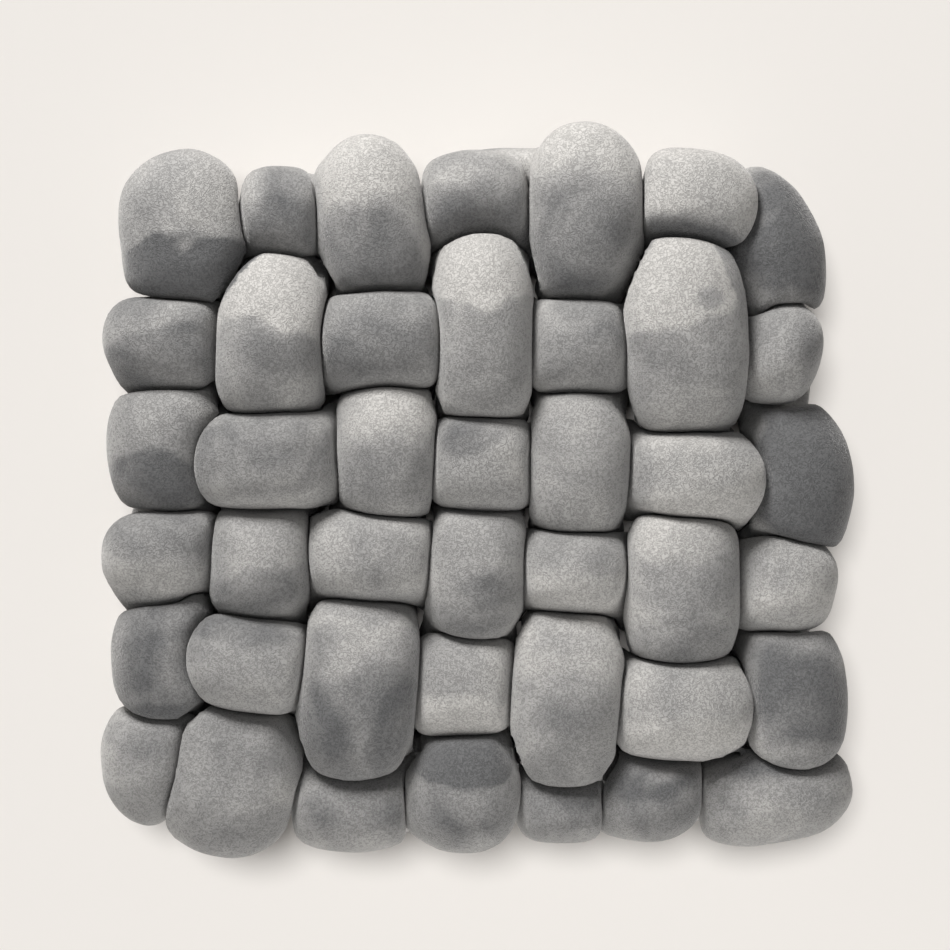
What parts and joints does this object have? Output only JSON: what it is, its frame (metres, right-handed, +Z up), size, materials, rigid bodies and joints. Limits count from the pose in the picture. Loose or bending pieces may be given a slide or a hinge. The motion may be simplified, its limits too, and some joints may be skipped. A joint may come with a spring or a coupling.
{
  "type": "knot cushion",
  "caption": "Square floor or sofa cushion woven from two long stuffed plush tubes, one up and down and one side to side, each turning back at the rim.",
  "frame": {"origin": "on the surface that the cushion lies on, below the middle of its outline", "axes": "+Z up, the way the woven face looks; +Y towards the top edge of the cushion as pictured; +X towards its right edge"},
  "size_m": [0.4532, 0.44, 0.124],
  "materials": {
    "plush": "short dense plush pile, matt with a soft sheen"
  },
  "bodies": {
    "root": {"warp_tube": "plush", "weft_tube": "plush"}
  },
  "joints": []
}
